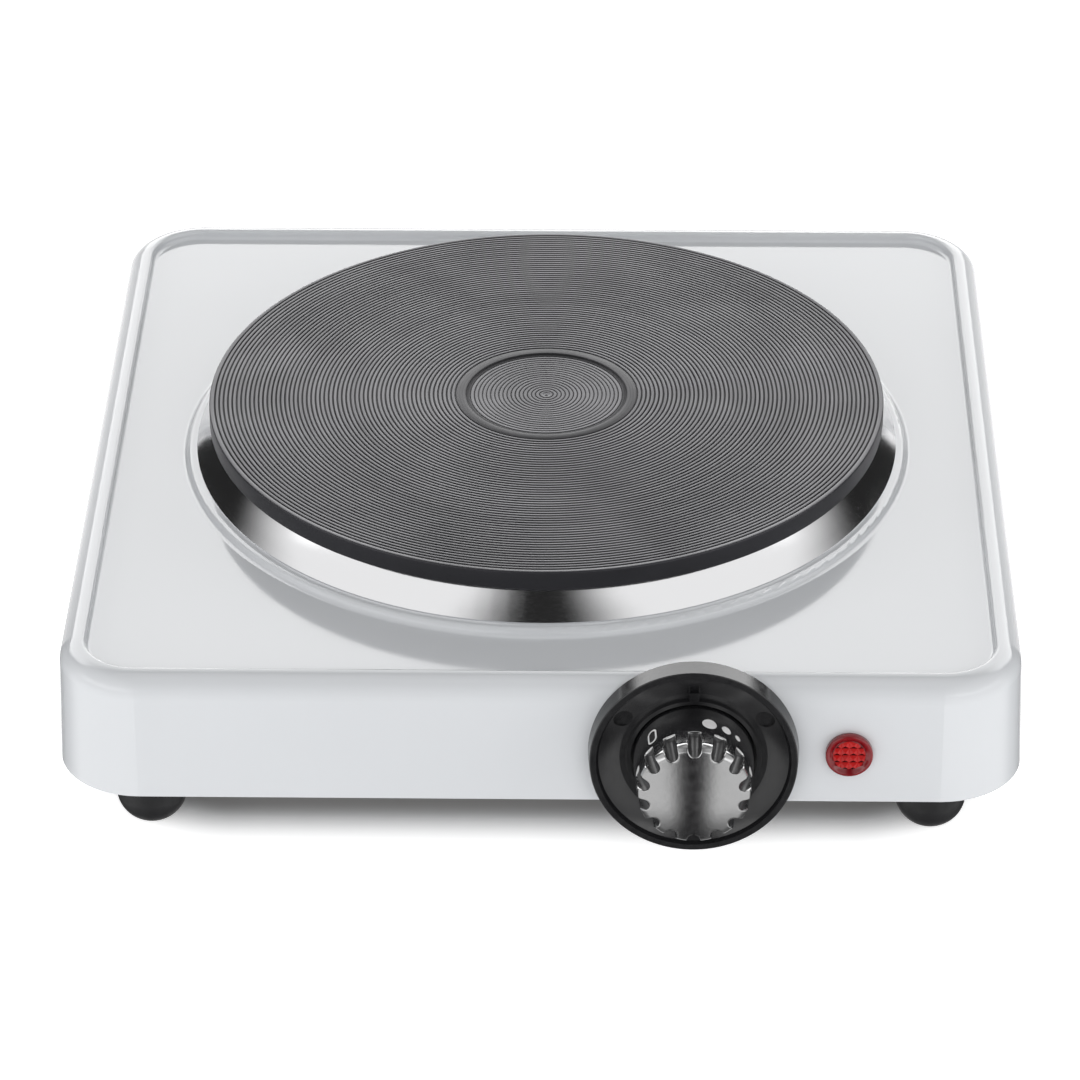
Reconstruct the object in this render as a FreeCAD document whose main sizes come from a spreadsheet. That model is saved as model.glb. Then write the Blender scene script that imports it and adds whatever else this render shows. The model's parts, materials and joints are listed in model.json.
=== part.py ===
import FreeCAD, Part
import math
import os
import Sketcher
from types import SimpleNamespace

# Single electric hot plate burner: a pressed, enamelled steel housing on four rubber feet, a cast-iron
# plate in a chrome trim ring, and a thermostat behind a fluted knob.
# Millimetres. +Z is up, -Y is the front with the knob, and z = 0 is the surface that the feet stand on.
# The origin is under the middle of the whole burner. Pieces are drawn from the housing's centre line,
# and placing them adds centre_y, the distance from the origin back to that line.

doc = FreeCAD.newDocument("hot_plate_burner")
up_axis = FreeCAD.Vector(0, 0, 1)
side_axis = FreeCAD.Vector(1, 0, 0)

DRIVING = [
    ("centre_y", 9.4, "origin to the housing's centre line, half of knob reach less bush reach"),
    # housing
    ("housing_side", 251.0, "side of the square housing at its lower edge"),
    ("housing_corner", 22.0, "corner radius seen from above"),
    ("housing_top", 55.2, "height of the rim"),
    ("skirt_bottom", 20.1, "height of the housing's lower edge"),
    ("wall_draft", 2.0, "degrees that the walls lean inward"),
    ("sheet", 0.8, "thickness of the pressed steel"),
    ("rim_radius", 6.0, "rounding between wall and rim"),
    ("panel_side", 235.0, "side of the sunk panel, at the middle of its step"),
    ("panel_drop", 2.4, "depth of the sunk panel below the rim"),
    ("step_radius", 1.15, "rounding at the top and the foot of the step"),
    ("lip_foot", 100.5, "radius where the raised lip leaves the panel"),
    ("lip_width", 3.0, "width of the lip's slope"),
    ("lip_height", 2.1, "height of the lip above the panel"),
    ("collar_radius", 94.6, "inner radius of the collar that the lip turns down into"),
    ("collar_bottom", 49.5, "height of the collar's lower edge"),
    # base and feet
    ("base_height", 21.0, "height of the base plate's underside"),
    ("base_gap", 0.5, "gap between base plate and housing wall"),
    ("foot_spacing", 205.0, "distance between feet"),
    ("foot_radius", 9.3, "radius of a foot at its widest"),
    ("foot_pad", 5.4, "radius of the part of a foot that stands on the table"),
    ("foot_well", 3.8, "radius of the well for a foot screw's head"),
    ("foot_well_depth", 9.0, "depth of that well"),
    ("bracket_sheet", 1.5, "thickness of a corner bracket"),
    ("slot_length", 30.0, "length of a vent slot"),
    ("slot_width", 3.2, "width of a vent slot"),
    ("slot_pitch", 11.0, "distance between vent slots"),
    ("slot_count", 9, "vent slots in a row"),
    # hot plate
    ("plate_top", 68.5, "height of the cooking surface"),
    ("plate_radius", 92.5, "radius of the cast-iron plate"),
    ("plate_rim", 5.4, "height of the plate's side band"),
    ("plate_edge", 0.5, "rounding of the plate's upper edge"),
    ("skirt_radius", 88.7, "outer radius of the casting's skirt"),
    ("skirt_wall", 4.0, "thickness of that skirt"),
    ("casting_bottom", 51.5, "height of the casting's lower edge"),
    ("deck_bottom", 61.0, "height of the channels' roof"),
    ("channel_start", 38.0, "inner radius of the innermost channel"),
    ("channel_width", 9.0, "width of a heating channel"),
    ("channel_pitch", 12.0, "distance between channels"),
    ("disc_radius", 22.0, "radius of the sunk disc in the middle"),
    ("disc_drop", 0.4, "depth of that disc"),
    ("boss_radius", 11.0, "radius of the boss that takes the stud"),
    ("stud_radius", 3.0, "radius of the M6 stud"),
    ("ring_foot", 96.3, "outer radius of the trim ring, where it meets the lip"),
    ("coil_radius", 3.0, "outer radius of a heating coil"),
    ("coil_height", 57.0, "height of the coils' centre line"),
    ("pin_angle", -81.0, "direction of the plate's terminals, in degrees from +X"),
    ("pin_radius", 1.5, "radius of a terminal pin"),
    ("pin_bottom", 40.5, "height of the pins' lower ends"),
    ("cover_sheet", 0.6, "thickness of the cover under the casting"),
    ("bridge_sheet", 2.0, "thickness of the clamp bridge"),
    ("bridge_top", 45.0, "height of the bridge's middle"),
    ("bridge_width", 30.0, "width of the bridge"),
    # front
    ("knob_x", 39.7, "knob axis to the right of the centre line"),
    ("lamp_x", 79.6, "lamp axis to the right of the centre line"),
    ("control_height", 34.9, "height of knob and lamp where their axes leave the wall"),
    ("bezel_radius", 27.1, "radius of the dial bezel at the wall"),
    ("bezel_depth", 5.3, "depth of the bezel"),
    ("bezel_opening", 16.2, "radius of the opening that the knob turns in"),
    ("knob_skirt", 15.7, "radius of the knob at the bezel"),
    ("knob_rim", 14.6, "radius of the knob at its shoulder"),
    ("knob_back", 2.6, "distance from the wall to the knob"),
    ("knob_shoulder", 18.6, "distance from the wall to the knob's shoulder"),
    ("knob_length", 22.4, "distance from the wall to the top of the knob's dome"),
    ("notch_count", 14, "notches round the knob"),
    ("notch_radius", 1.75, "radius of a notch"),
    ("mark_depth", 0.2, "depth of the knob's marks"),
    ("mark_out", 10.1, "distance from the wall to the marks' centres"),
    ("spindle_radius", 3.0, "radius of the thermostat spindle"),
    ("spindle_play", 0.05, "radial play of the spindle in its bush"),
    ("bush_radius", 4.0, "outer radius of the spindle's bush"),
    ("control_hole", 5.0, "radius of the hole for the bush"),
    ("screw_offset", 11.5, "thermostat screws to either side of the knob axis"),
    ("lens_radius", 6.1, "radius of the lamp lens's flange"),
    ("lens_barrel", 4.6, "radius of the lens behind the wall"),
    # thermostat, distances measured inward from the wall's outer face
    ("stack_x", -22.0, "insulator stack to the side of the knob axis"),
    ("blade_root", -17.0, "where the blades leave the stack"),
    ("blade_depth", 11.0, "depth of the pressure blade"),
    ("blade_sheet", 0.4, "thickness of a contact blade"),
    ("contact_depth", 13.2, "depth of the contact blade"),
    ("bimetal_depth", 16.2, "depth of the bimetal blade"),
    ("bimetal_sheet", 0.8, "thickness of the bimetal blade"),
    # mains side
    ("cord_x", -70.0, "cord bush, terminal block and earth way, from the centre line"),
    ("cord_bore", 3.6, "radius of the cord bush's bore"),
    ("bush_hole", 6.0, "radius of the hole for the cord bush"),
    ("block_y", 88.0, "terminal block, back from the centre"),
    ("way_pitch", 9.0, "distance between the block's ways"),
    ("lead_radius", 1.25, "radius of a sleeved lead"),
    ("earth_x", -40.0, "earth screw, from the centre line"),
]


class Size:
    """A number together with the spreadsheet expression that gives it."""

    def __init__(self, value, text):
        self.value = value
        self.text = text

    def __add__(self, other):
        other = as_size(other)
        return Size(self.value + other.value, f"({self.text} + {other.text})")

    def __sub__(self, other):
        other = as_size(other)
        return Size(self.value - other.value, f"({self.text} - {other.text})")

    def __mul__(self, other):
        other = as_size(other)
        return Size(self.value * other.value, f"({self.text} * {other.text})")

    def __truediv__(self, other):
        other = as_size(other)
        return Size(self.value / other.value, f"({self.text} / {other.text})")

    def __neg__(self):
        return as_size(0) - self

    def __radd__(self, other):
        return as_size(other) + self

    def __rsub__(self, other):
        return as_size(other) - self

    def __rmul__(self, other):
        return self * other


def as_size(length):
    """A Size as it is, and a plain number as a Size."""
    if isinstance(length, Size):
        return length
    return Size(float(length), f"{float(length):.6f}")


def make_sheet():
    """Writes the driving dimensions to the spreadsheet and returns them by name."""
    sheet = doc.addObject("Spreadsheet::Sheet", "Sizes")
    named = {}
    for row, (alias, value, note) in enumerate(DRIVING, start=1):
        sheet.set(f"A{row}", note)
        sheet.set(f"B{row}", str(value))
        sheet.setAlias(f"B{row}", alias)
        named[alias] = Size(float(value), "Sizes." + alias)
    doc.recompute()
    return SimpleNamespace(**named)


dim = make_sheet()
draft = math.radians(dim.wall_draft.value)
lean = Size(math.tan(draft), "tan(Sizes.wall_draft * 1 deg)")
draft_sin = Size(math.sin(draft), "sin(Sizes.wall_draft * 1 deg)")
draft_cos = Size(math.cos(draft), "cos(Sizes.wall_draft * 1 deg)")

nodes = []


# ---- Helpers: binding, placing, sketching ----


def bind(item, path, length):
    """Binds a property to the spreadsheet."""
    item.setExpression(path, as_size(length).text)


def keep(item, name):
    """Names a finished sub-part and puts it on the list to be written."""
    item.Label = name
    nodes.append(item)
    return item


def place(item, x=0, y=0, z=0, turn=FreeCAD.Rotation()):
    """Puts a piece at x, y from the housing's centre line and z above the table."""
    item.Placement = FreeCAD.Placement(FreeCAD.Vector(), turn)
    bind(item, "Placement.Base.x", x)
    bind(item, "Placement.Base.y", as_size(y) + dim.centre_y)
    bind(item, "Placement.Base.z", z)
    return item


def wall_half(height, inset=0):
    """Half the housing's width at a height, less an inset."""
    return dim.housing_side / 2 - (height - dim.skirt_bottom) * lean - inset


def place_front(item, across=0, up=0, out=0, spin=0):
    """Puts a piece in the front wall's frame: its +Z points out of the wall and its +Y up the wall.
    The frame's origin is on the wall's outer face, at the knob's height and `across` from the middle."""
    turn = FreeCAD.Rotation(side_axis, 90 - dim.wall_draft.value) * FreeCAD.Rotation(up_axis, spin)
    y = -wall_half(dim.control_height) + as_size(up) * draft_sin - as_size(out) * draft_cos
    z = dim.control_height + as_size(up) * draft_cos + as_size(out) * draft_sin
    return place(item, across, y, z, turn)


def place_back(item, across, height, out=0):
    """Puts a piece in the back wall's frame, with its +Z pointing out of the wall, that far out."""
    turn = FreeCAD.Rotation(side_axis, dim.wall_draft.value - 90)
    y = wall_half(as_size(height)) + as_size(out) * draft_cos
    return place(item, across, y, as_size(height) + as_size(out) * draft_sin, turn)


def new_body(name):
    """A PartDesign body."""
    return doc.addObject("PartDesign::Body", name)


def origin_feature(body, role):
    """One of a body's own planes or axes."""
    return [f for f in body.Origin.OriginFeatures if f.Role == role][0]


def new_sketch(body, name, role="XY_Plane", lift=0):
    """A sketch on one of the body's own planes, moved along the plane's normal by lift."""
    sketch = body.newObject("Sketcher::SketchObject", name)
    sketch.AttachmentSupport = [(origin_feature(body, role), "")]
    sketch.MapMode = "FlatFace"
    bind(sketch, "AttachmentOffset.Base.z", lift)
    return sketch


def bent_edge(start, end, bend):
    """An arc from start to end whose centre lies to the left for a positive bend."""
    chord = end.sub(start)
    left = FreeCAD.Vector(-chord.y, chord.x, 0).normalize()
    side = math.copysign(1, bend)
    to_centre = math.sqrt(max(bend * bend - chord.Length ** 2 / 4, 0))
    middle = start.add(end).multiply(0.5).sub(left.multiply(side * (abs(bend) - to_centre)))
    return Part.Arc(start, middle, end)


def fix_point(sketch, edge, mark, corner, rules, bindings):
    """Pins one end of an edge to a corner's coordinates."""
    for kind, axis, coordinate in (("DistanceX", -2, corner[0]), ("DistanceY", -1, corner[1])):
        coordinate = as_size(coordinate)
        if abs(coordinate.value) < 1e-9:
            rules.append(Sketcher.Constraint("PointOnObject", edge, mark, axis))
        else:
            bindings.append((len(rules), coordinate))
            rules.append(Sketcher.Constraint(kind, -1, 1, edge, mark, coordinate.value))


def outline(sketch, corners):
    """Draws a closed outline. A corner is (x, y), or (x, y, bend) when an arc of that radius leads to it."""
    points = [FreeCAD.Vector(as_size(c[0]).value, as_size(c[1]).value, 0) for c in corners]
    edges = []
    for number, corner in enumerate(corners):
        start = FreeCAD.Vector(points[number - 1])
        end = FreeCAD.Vector(points[number])
        if len(corner) == 3:
            shape = bent_edge(start, end, as_size(corner[2]).value)
        else:
            shape = Part.LineSegment(start, end)
        edges.append(sketch.addGeometry(shape, False))
    rules = []
    bindings = []
    for number, corner in enumerate(corners):
        edge = edges[number]
        after = edges[(number + 1) % len(edges)]
        mark = nearest_end(sketch, edge, points[number])
        rules.append(
            Sketcher.Constraint("Coincident", edge, mark, after, nearest_end(sketch, after, points[number]))
        )
        fix_point(sketch, edge, mark, corner, rules, bindings)
        if len(corner) == 3:
            radius = as_size(corner[2])
            radius = radius if radius.value > 0 else -radius
            bindings.append((len(rules), radius))
            rules.append(Sketcher.Constraint("Radius", edge, radius.value))
    first = sketch.addConstraint(rules)[0]
    for offset, length in bindings:
        bind(sketch, f"Constraints[{first + offset}]", length)


def nearest_end(sketch, edge, point):
    """The mark, 1 or 2, of the end of an edge that lies at a point."""
    ends = [sketch.getPoint(edge, mark).distanceToPoint(point) for mark in (1, 2)]
    return 1 if ends[0] <= ends[1] else 2


def circle(sketch, x, y, radius):
    """Draws a circle."""
    centre = FreeCAD.Vector(as_size(x).value, as_size(y).value, 0)
    edge = sketch.addGeometry(Part.Circle(centre, up_axis, as_size(radius).value), False)
    rules = []
    bindings = []
    fix_point(sketch, edge, 3, (x, y), rules, bindings)
    bindings.append((len(rules), as_size(radius)))
    rules.append(Sketcher.Constraint("Radius", edge, as_size(radius).value))
    first = sketch.addConstraint(rules)[0]
    for offset, length in bindings:
        bind(sketch, f"Constraints[{first + offset}]", length)


def rounded(x, y, half_x, half_y, corner):
    """Corners of a rounded rectangle round (x, y), anticlockwise."""
    left = x - half_x
    right = x + half_x
    low = y - half_y
    high = y + half_y
    return [
        (right - corner, low),
        (right, low + corner, corner),
        (right, high - corner),
        (right - corner, high, corner),
        (left + corner, high),
        (left, high - corner, corner),
        (left, low + corner),
        (left + corner, low, corner),
    ]


def box(low_x, high_x, low_y, high_y):
    """Corners of a rectangle, anticlockwise."""
    return [(low_x, low_y), (high_x, low_y), (high_x, high_y), (low_x, high_y)]


def pad(body, sketch, length, taper=0):
    """Pads a sketch along its plane's normal."""
    feature = body.newObject("PartDesign::Pad", sketch.Name + "_pad")
    feature.Profile = sketch
    bind(feature, "Length", length)
    feature.TaperAngle = taper
    return feature


def pocket(body, sketch, depth=None, forward=False):
    """Cuts a sketch away: right through, or for a depth against or along the plane's normal."""
    feature = body.newObject("PartDesign::Pocket", sketch.Name + "_pocket")
    feature.Profile = sketch
    if depth is None:
        feature.Type = "ThroughAll"
        feature.Midplane = True
    else:
        bind(feature, "Length", depth)
        feature.Reversed = forward
    return feature


def revolve(body, name, *outlines):
    """Turns outlines of (radius, height) corners round the body's Z axis."""
    sketch = new_sketch(body, name + "_section", "XZ_Plane")
    for corners in outlines:
        outline(sketch, corners)
    feature = body.newObject("PartDesign::Revolution", name + "_turned")
    feature.Profile = sketch
    feature.ReferenceAxis = (sketch, ["V_Axis"])
    feature.Angle = 360.0
    return feature


def turned(name, *outlines):
    """A body turned from outlines of (radius, height) corners."""
    body = new_body(name)
    revolve(body, name, *outlines)
    return body


def block(name, corners, bottom, height, holes=()):
    """A body padded from an outline, with round holes of (x, y, radius) right through."""
    body = new_body(name)
    sketch = new_sketch(body, name + "_outline", lift=bottom)
    outline(sketch, corners)
    pad(body, sketch, height)
    if holes:
        sketch = new_sketch(body, name + "_holes", lift=bottom)
        for x, y, radius in holes:
            circle(sketch, x, y, radius)
        pocket(body, sketch)
    return body


def fillet_at(body, feature, height, radius):
    """Rounds the edges of a feature that lie flat at a height."""
    doc.recompute()
    names = []
    for number, edge in enumerate(feature.Shape.Edges, start=1):
        box_of_edge = edge.BoundBox
        if abs(box_of_edge.ZMin - height) < 1e-4 and abs(box_of_edge.ZMax - height) < 1e-4:
            names.append(f"Edge{number}")
    rounding = body.newObject("PartDesign::Fillet", feature.Name + "_fillet")
    rounding.Base = (feature, names)
    bind(rounding, "Radius", radius)
    doc.recompute()
    return rounding


def group(name, pieces):
    """One node of several separate, identical pieces."""
    compound = doc.addObject("Part::Compound", name)
    compound.Links = pieces
    return keep(compound, name)


def cut(name, base, tools):
    """What is left of a piece after the tools are cut away."""
    result = base
    for number, tool in enumerate(tools):
        step = doc.addObject("Part::Cut", f"{name}_{number}")
        step.Base = result
        step.Tool = tool
        result = step
    return result


def rod(name, radius, length):
    """A plain round rod along +Z from the origin, used as a piece or as a cutting tool."""
    cylinder = doc.addObject("Part::Cylinder", name)
    bind(cylinder, "Radius", radius)
    bind(cylinder, "Height", length)
    return cylinder


# ---- Helpers: fasteners and leads ----


def pan_screw(name, head_radius, head_height, shank_radius, length):
    """A pan-head screw with a cross recess. Its shank runs up +Z from z = 0, and its head is below."""
    edge = as_size(head_height) * 0.4
    body = turned(name, [
        (0, -head_height),
        (head_radius - edge, -head_height),
        (head_radius, edge - head_height, edge),
        (head_radius, 0),
        (shank_radius, 0),
        (shank_radius, length),
        (0, length),
    ])
    recess = new_sketch(body, name + "_recess", lift=-head_height)
    arm = as_size(head_radius) * 0.6
    half = as_size(head_radius) * 0.13
    outline(recess, [
        (-arm, -half), (-half, -half), (-half, -arm), (half, -arm), (half, -half), (arm, -half),
        (arm, half), (half, half), (half, arm), (-half, arm), (-half, half), (-arm, half),
    ])
    pocket(body, recess, as_size(head_height) * 0.55, forward=True)
    return body


def nut(name, across_flats, height, bore):
    """A hexagon nut standing on z = 0."""
    corner = across_flats / math.sqrt(3)
    corners = [
        (corner * math.cos(math.radians(60 * k)), corner * math.sin(math.radians(60 * k))) for k in range(6)
    ]
    return block(name, corners, 0, height, [(0, 0, bore)])


def ring(name, outer, bore, height):
    """A washer or a sleeve standing on z = 0."""
    return turned(name, [(bore, 0), (outer, 0), (outer, height), (bore, height)])


def bent_path(route):
    """A wire of straight runs joined by tangent arcs, each as large as its two runs allow."""
    points = [FreeCAD.Vector(*point) for point in route]
    edges = []
    last = points[0]
    for before, here, after in zip(points, points[1:], points[2:]):
        back = before.sub(here)
        ahead = after.sub(here)
        turn = math.pi - back.getAngle(ahead)
        reach = 0.45 * min(back.Length, ahead.Length)
        radius = reach / math.tan(turn / 2)
        back.normalize()
        ahead.normalize()
        start = here + back * reach
        end = here + ahead * reach
        to_centre = (back + ahead).normalize()
        centre = here + to_centre * math.hypot(reach, radius)
        edges.append(Part.LineSegment(last, start).toShape())
        edges.append(Part.Arc(start, centre - to_centre * radius, end).toShape())
        print(f"lead bend radius {radius:.1f}")
        last = end
    edges.append(Part.LineSegment(last, points[-1]).toShape())
    return Part.Wire(edges)


def tube(name, wire, radius):
    """A round solid that follows a wire, with its volume compared with section times length."""
    start = wire.Edges[0]
    profile = Part.Wire(Part.Circle(start.valueAt(start.FirstParameter),
                                    start.tangentAt(start.FirstParameter), radius).toShape())
    solid = wire.makePipeShell([profile], True, False)
    expected = math.pi * radius ** 2 * wire.Length
    if abs(solid.Volume / expected - 1) > 0.01:
        raise ValueError(f"{name} has volume {solid.Volume:.0f} and should have {expected:.0f}")
    feature = doc.addObject("Part::Feature", name)
    feature.Shape = solid
    feature.Placement = FreeCAD.Placement(FreeCAD.Vector(0, dim.centre_y.value, 0), FreeCAD.Rotation())
    return feature


def lead(name, route):
    """A sleeved lead inside the housing, along a route of points from the housing's centre line."""
    return keep(tube(name, bent_path(route), dim.lead_radius.value), name)


# ---- Casing ----


def lip_section(inset):
    """Section of the raised lip round the hot plate, as far inside its outer skin as the inset."""
    panel = dim.housing_top - dim.panel_drop
    width = dim.lip_width
    rise = dim.lip_height
    bend = (width * width + rise * rise) / (rise * 4)
    middle_x = dim.lip_foot - (width / 2) * (bend + inset) / bend
    middle_z = panel + bend - (bend - rise / 2) * (bend + inset) / bend
    return [
        (dim.collar_radius, panel - 2),
        (dim.lip_foot, panel - 2),
        (dim.lip_foot, panel - inset),
        (middle_x, middle_z, -(bend + inset)),
        (dim.lip_foot - width, panel + rise - inset, bend - inset),
        (dim.collar_radius, panel + rise - inset),
    ]


def housing_form(name, inset, below):
    """The housing's outer skin as a solid, or the space inside it for an inset of one sheet."""
    body = new_body(name)
    bottom = dim.skirt_bottom - below
    half = wall_half(bottom, inset)
    corner = dim.housing_corner - inset
    top = dim.housing_top - inset
    foot = new_sketch(body, name + "_foot", lift=bottom)
    outline(foot, rounded(0, 0, half, half, corner))
    walls = pad(body, foot, top - bottom, taper=-dim.wall_draft.value)
    rim = fillet_at(body, walls, top.value, dim.rim_radius - inset)
    sunk = new_sketch(body, name + "_sunk", lift=top)
    sunk_half = dim.panel_side / 2 + inset
    sunk_corner = dim.housing_corner - (dim.housing_side - dim.panel_side) / 2 + inset
    outline(sunk, rounded(0, 0, sunk_half, sunk_half, sunk_corner))
    step = pocket(body, sunk, dim.panel_drop)
    doc.recompute()
    panel = dim.housing_top - dim.panel_drop - inset
    foot_round = fillet_at(body, step, panel.value, dim.step_radius + inset)
    step_edges = inner_edges(foot_round, top.value, sunk_half.value)
    crest = body.newObject("PartDesign::Fillet", name + "_crest")
    crest.Base = (foot_round, step_edges)
    bind(crest, "Radius", dim.step_radius - inset)
    revolve(body, name + "_lip", lip_section(inset))
    return place(body)


def inner_edges(feature, height, half):
    """Names of the edges at a height that lie within half a width of the middle."""
    names = []
    for number, edge in enumerate(feature.Shape.Edges, start=1):
        bounds = edge.BoundBox
        flat = abs(bounds.ZMin - height) < 1e-4 and abs(bounds.ZMax - height) < 1e-4
        within = max(abs(bounds.XMin), abs(bounds.XMax), abs(bounds.YMin), abs(bounds.YMax)) < half + 0.01
        if flat and within:
            names.append(f"Edge{number}")
    return names


def make_housing():
    """Pressed steel housing: drafted walls, rounded rim, sunk panel, raised lip and turned-down collar."""
    outside = housing_form("housing_outside", as_size(0), as_size(0))
    inside = housing_form("housing_inside", dim.sheet, as_size(1))
    collar_hole = place(rod("collar_hole", dim.collar_radius, dim.plate_top), z=0)
    collar_core = place(rod("collar_core", dim.collar_radius + dim.sheet, 20), z=dim.collar_bottom)
    hollow = cut("housing_hollow", inside, [collar_core])
    tools = [collar_hole]
    for name, across, radius in (
        ("bush_opening", dim.knob_x, dim.control_hole),
        ("left_screw_opening", dim.knob_x - dim.screw_offset, 1.7),
        ("right_screw_opening", dim.knob_x + dim.screw_offset, 1.7),
        ("lamp_opening", dim.lamp_x, dim.lens_barrel + 0.1),
    ):
        tools.append(place_front(rod(name, radius, 8), across, out=-4))
    cord_opening = rod("cord_opening", dim.bush_hole, 8)
    tools.append(place_back(cord_opening, dim.cord_x, dim.control_height, out=-4))
    return keep(cut("housing", outside, [hollow] + tools), "housing")


def make_base_plate():
    """Flat steel base with two rows of vent slots, four foot holes and the block screw's hole."""
    half = wall_half(dim.base_height, dim.sheet + dim.base_gap)
    corner = dim.housing_corner - dim.sheet - dim.base_gap
    spot = dim.foot_spacing / 2
    holes = [(x * spot, y * spot, 2.2) for x in (-1, 1) for y in (-1, 1)]
    holes.append((dim.cord_x + dim.way_pitch / 2, dim.block_y, 1.6))
    body = block("base_plate", rounded(0, 0, half, half, corner), dim.base_height, dim.sheet, holes)
    count = int(dim.slot_count.value)
    gaps = count - 1
    slot_end = dim.slot_width * 0.45
    for row, y in (("front", -55), ("back", 45)):
        sketch = new_sketch(body, row + "_slot", lift=dim.base_height)
        first_x = dim.slot_pitch * gaps / -2
        outline(sketch, rounded(first_x, y, dim.slot_width / 2, dim.slot_length / 2, slot_end))
        first_slot = pocket(body, sketch)
        pattern = body.newObject("PartDesign::LinearPattern", row + "_slots")
        pattern.Originals = [first_slot]
        pattern.Direction = (origin_feature(body, "X_Axis"), [""])
        bind(pattern, "Length", dim.slot_pitch * gaps)
        pattern.Occurrences = count
        body.Tip = pattern
    return keep(place(body), "base_plate")


def make_corner_bracket(name, side, end):
    """An angle welded inside a side wall, with a tongue over the foot. side and end are +1 or -1."""
    body = new_body(name)
    thick = dim.bracket_sheet
    floor = dim.base_height + dim.sheet
    crest = floor + 18
    spot = dim.foot_spacing / 2
    section = new_sketch(body, name + "_section", "XZ_Plane", lift=-80 if end > 0 else 102)
    wall_low = wall_half(floor, dim.sheet)
    wall_high = wall_half(crest, dim.sheet)
    outline(section, [
        (side * (spot - 8), floor),
        (side * wall_low, floor),
        (side * wall_high, crest),
        (side * (wall_high - thick), crest),
        (side * (wall_low - thick), floor + thick),
        (side * (spot - 8), floor + thick),
    ])
    angle = pad(body, section, 22)
    angle.Reversed = True
    tongue = new_sketch(body, name + "_tongue", lift=floor)
    outline(tongue, rounded(side * spot, end * (spot - 4), 9, 13, 4))
    pad(body, tongue, thick)
    hole = new_sketch(body, name + "_hole", lift=floor)
    circle(hole, side * spot, end * spot, 2.2)
    pocket(body, hole)
    return place(body)


def make_feet():
    """Rubber feet with their screws and nuts, and the welded corner brackets that the screws hold to."""
    spot = dim.foot_spacing / 2
    screws = []
    nuts = []
    brackets = []
    for side, side_name in ((-1, "left"), (1, "right")):
        for end, end_name in ((-1, "front"), (1, "rear")):
            corner = f"{end_name}_{side_name}"
            foot = turned("foot_" + corner, [
                (2.1, dim.foot_well_depth),
                (dim.foot_well, dim.foot_well_depth),
                (dim.foot_well, 0),
                (dim.foot_pad, 0),
                (dim.foot_radius, 6.5, 9),
                (dim.foot_radius, dim.base_height),
                (2.1, dim.base_height),
            ])
            keep(place(foot, side * spot, end * spot), "foot_" + corner)
            screw = pan_screw("foot_screw_" + corner, 3.5, 2.4, 2.0, 20)
            screws.append(place(screw, side * spot, end * spot, dim.foot_well_depth))
            fixing = nut("foot_nut_" + corner, 7.0, 3.2, 2.05)
            top = dim.base_height + dim.sheet + dim.bracket_sheet
            nuts.append(place(fixing, side * spot, end * spot, top))
            brackets.append(make_corner_bracket("corner_bracket_" + corner, side, end))
    group("foot_screws", screws)
    group("foot_nuts", nuts)
    group("corner_brackets", brackets)


# ---- Hot plate ----


def channel(number):
    """Inner and outer radius of a heating channel, counted from the inside."""
    inner = dim.channel_start + dim.channel_pitch * number
    return inner, inner + dim.channel_width


def coil_bend(pair):
    """Centre of the hairpin bend that joins a pair of channels, and its radius."""
    inner = channel(2 * pair)
    radius = inner[0] + (dim.channel_width + dim.channel_pitch) / 2
    angle = math.radians(dim.pin_angle.value - 22)
    return radius * math.cos(angle), radius * math.sin(angle), dim.channel_pitch / 2


def make_casting():
    """Cast-iron plate: flat top with a sunk disc, overhanging rim, skirt, boss and four ring channels."""
    top = dim.plate_top
    bottom = dim.casting_bottom
    corners = [
        (0, top - dim.disc_drop),
        (dim.disc_radius, top - dim.disc_drop),
        (dim.disc_radius, top),
        (dim.plate_radius - dim.plate_edge, top),
        (dim.plate_radius, top - dim.plate_edge, -dim.plate_edge),
        (dim.plate_radius, top - dim.plate_rim),
        (dim.skirt_radius, top - dim.plate_rim),
        (dim.skirt_radius, bottom),
    ]
    for number in (3, 2, 1, 0):
        inner, outer = channel(number)
        if number == 3:
            outer = dim.skirt_radius - dim.skirt_wall
        corners += [(outer, bottom), (outer, dim.deck_bottom), (inner, dim.deck_bottom), (inner, bottom)]
    corners += [
        (dim.channel_start - 3, bottom),
        (dim.channel_start - 3, dim.deck_bottom),
        (dim.boss_radius, dim.deck_bottom),
        (dim.boss_radius, bottom),
        (dim.stud_radius, bottom),
        (dim.stud_radius, dim.deck_bottom),
        (0, dim.deck_bottom),
    ]
    body = turned("hot_plate", corners)
    gaps = new_sketch(body, "rib_gaps", lift=bottom)
    for pair in (0, 1):
        x, y, bend = coil_bend(pair)
        circle(gaps, x, y, bend + dim.coil_radius + 0.5)
    pocket(body, gaps, dim.deck_bottom - bottom, forward=True)
    return keep(place(body), "hot_plate")


def coil_wire(pair):
    """Centre line of one heating coil: out along a channel, round a hairpin and back along the next."""
    inner = (channel(2 * pair)[0] + dim.channel_width / 2).value
    outer = inner + dim.channel_pitch.value
    height = dim.coil_height.value
    turn = math.radians(dim.pin_angle.value - 22) + 2 * math.pi

    def spot(radius, angle):
        return FreeCAD.Vector(radius * math.cos(angle), radius * math.sin(angle), height)

    def start_angle(radius):
        return math.radians(dim.pin_angle.value) + math.asin(dim.pin_radius.value / radius)

    middle = (inner + outer) / 2
    along = FreeCAD.Vector(-math.sin(turn), math.cos(turn), 0) * ((outer - inner) / 2)
    arcs = [
        (spot(inner, start_angle(inner)), spot(inner, math.radians(90)), spot(inner, turn)),
        (spot(inner, turn), spot(middle, turn) + along, spot(outer, turn)),
        (spot(outer, turn), spot(outer, math.radians(90)), spot(outer, start_angle(outer))),
    ]
    return Part.Wire([Part.Arc(*points).toShape() for points in arcs])


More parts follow.
